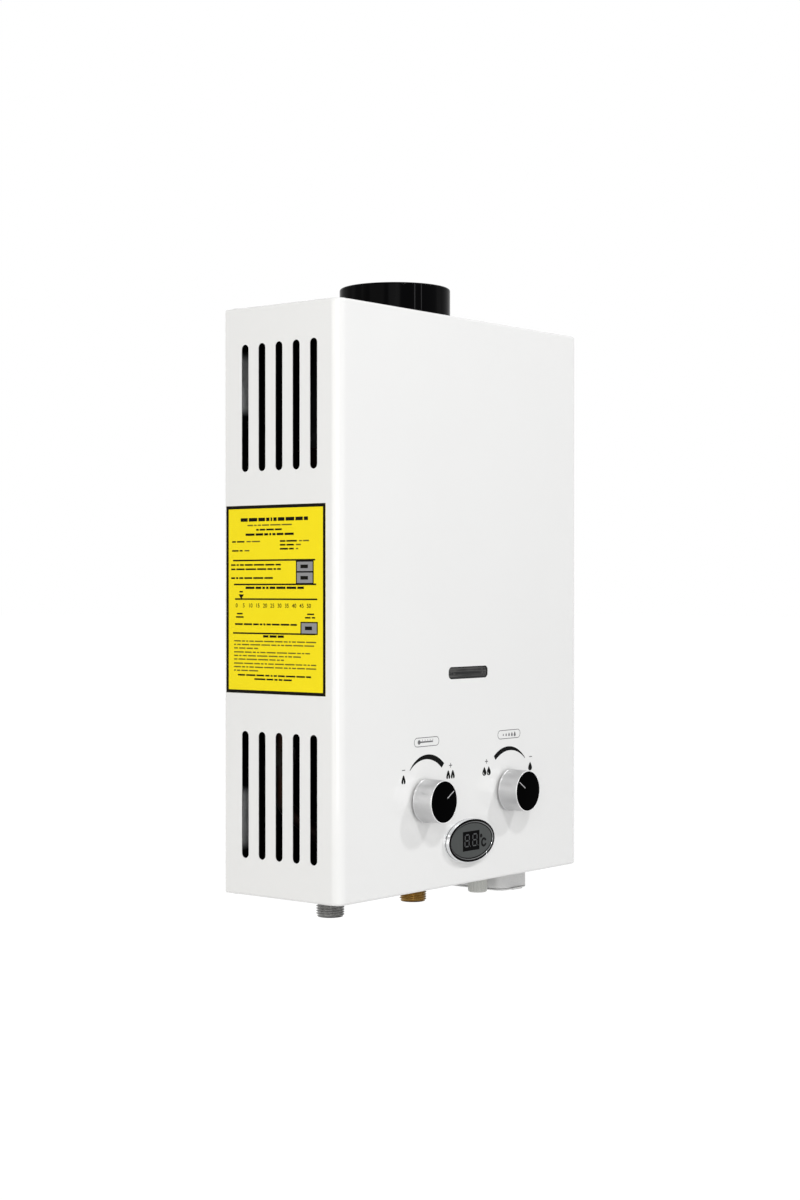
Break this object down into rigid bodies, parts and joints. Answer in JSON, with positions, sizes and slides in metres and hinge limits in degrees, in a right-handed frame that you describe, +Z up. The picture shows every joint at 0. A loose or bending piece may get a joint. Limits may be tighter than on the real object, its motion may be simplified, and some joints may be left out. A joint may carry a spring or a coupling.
{
  "type": "tankless water heater",
  "caption": "Wall-hung instantaneous gas water heater: white sheet-steel case with side vents, flue collar, two control knobs, oval display and pipe connections below.",
  "frame": {"origin": "middle of the case's wall face, on the outside of the back plate", "axes": "+X to the right seen from the front, +Y into the wall, +Z up"},
  "size_m": [0.3, 0.129, 0.4725],
  "materials": {
    "white_enamel": "glossy white powder coat",
    "galvanised_steel": "galvanised sheet",
    "black_enamel": "glossy black enamel",
    "copper": "bare copper",
    "burner_steel": "stainless steel",
    "die_cast": "die-cast aluminium",
    "brass": "turned brass",
    "zinc_steel": "zinc-plated steel",
    "porcelain": "glazed porcelain",
    "black_rubber": "moulded rubber",
    "lead_jacket": "silicone rubber",
    "black_moulding": "moulded plastic",
    "solenoid_paint": "painted steel",
    "silver_plastic": "silver-coated plastic",
    "black_face": "gloss black plastic",
    "chrome_plate": "chrome-plated plastic",
    "grey_lens": "smoked plastic",
    "dark_glass": "tempered glass",
    "pale_plastic": "moulded plastic",
    "cap_plastic": "moulded plastic",
    "nickel_contact": "nickel-plated spring steel"
  },
  "bodies": {
    "case": {"front_cover": "white_enamel", "back_plate": "galvanised_steel", "bottom_plate": "galvanised_steel", "draft_hood": "galvanised_steel", "burner_frame": "galvanised_steel", "exchanger_brackets": "galvanised_steel", "valve_brackets": "galvanised_steel", "flue_collar": "black_enamel", "exchanger_jacket": "copper", "exchanger_fins": "copper", "serpentine_tube": "copper", "jacket_coil": "copper", "hot_pipe": "copper", "cold_pipe": "copper", "burner_bars": "burner_steel", "gas_manifold": "die_cast", "gas_pipe": "die_cast", "gas_valve_body": "die_cast", "gas_nozzles": "brass", "gas_inlet": "brass", "water_valve_body": "brass", "cold_inlet": "brass", "hot_outlet": "zinc_steel", "fitting_nuts": "zinc_steel", "cover_screws": "zinc_steel", "electrode_pins": "zinc_steel", "lid_pin": "zinc_steel", "diaphragm_cover": "zinc_steel", "diaphragm_bolts": "zinc_steel", "sight_frame": "zinc_steel", "pipe_unions": "zinc_steel", "electrode_insulators": "porcelain", "diaphragm": "black_rubber", "spark_leads": "lead_jacket", "display_module": "black_moulding", "switch_body": "black_moulding", "pulse_igniter": "black_moulding", "overheat_stat": "black_moulding", "outlet_sensor": "black_moulding", "gas_solenoid": "solenoid_paint", "display_bezel": "chrome_plate", "display_lens": "grey_lens", "sight_glass": "dark_glass", "battery_box": "pale_plastic", "inlet_filter": "pale_plastic", "battery_contacts": "nickel_contact"},
    "temp_control": {"temp_knob": "silver_plastic", "temp_knob_cap": "black_face", "gas_spindle": "zinc_steel"},
    "flow_control": {"flow_knob": "silver_plastic", "flow_knob_cap": "black_face", "flow_spindle": "zinc_steel"},
    "link_rod": {"push_rod": "zinc_steel"},
    "link_lever": {"switch_lever": "zinc_steel"},
    "drain": {"drain_cap": "cap_plastic"},
    "battery_door": {"battery_lid": "pale_plastic", "lid_contact": "nickel_contact"}
  },
  "joints": [
    {"name": "temp_knob_turn", "type": "hinge", "parent": "case", "child": "temp_control", "pos_m": [-0.0531, -0.11, -0.1475], "axis": [0, -1, 0], "range_deg": [0, 115]},
    {"name": "flow_knob_turn", "type": "hinge", "parent": "case", "child": "flow_control", "pos_m": [0.0531, -0.11, -0.1475], "axis": [0, -1, 0], "range_deg": [-115, 0]},
    {"name": "link_rod_slide", "type": "slide", "parent": "case", "child": "link_rod", "axis": [-1, 0, 0], "range_m": [0, 0.0035], "stiffness_N_per_m": 300},
    {"name": "link_lever_pivot", "type": "hinge", "parent": "case", "child": "link_lever", "pos_m": [0.0181, -0.06, -0.118], "axis": [0, 1, 0], "range_deg": [0, 9]},
    {"name": "drain_cap_turn", "type": "hinge", "parent": "case", "child": "drain", "pos_m": [0.0531, -0.08, -0.215], "axis": [0, 0, -1], "range_deg": [0, 90]},
    {"name": "battery_lid_hinge", "type": "hinge", "parent": "case", "child": "battery_door", "pos_m": [0.0869, -0.02, -0.22895], "axis": [1, 0, 0], "range_deg": [0, 90]}
  ],
  "couplings": [
    {"joint": "link_lever_pivot", "follows": "link_rod_slide", "rad_per_m": 40}
  ]
}
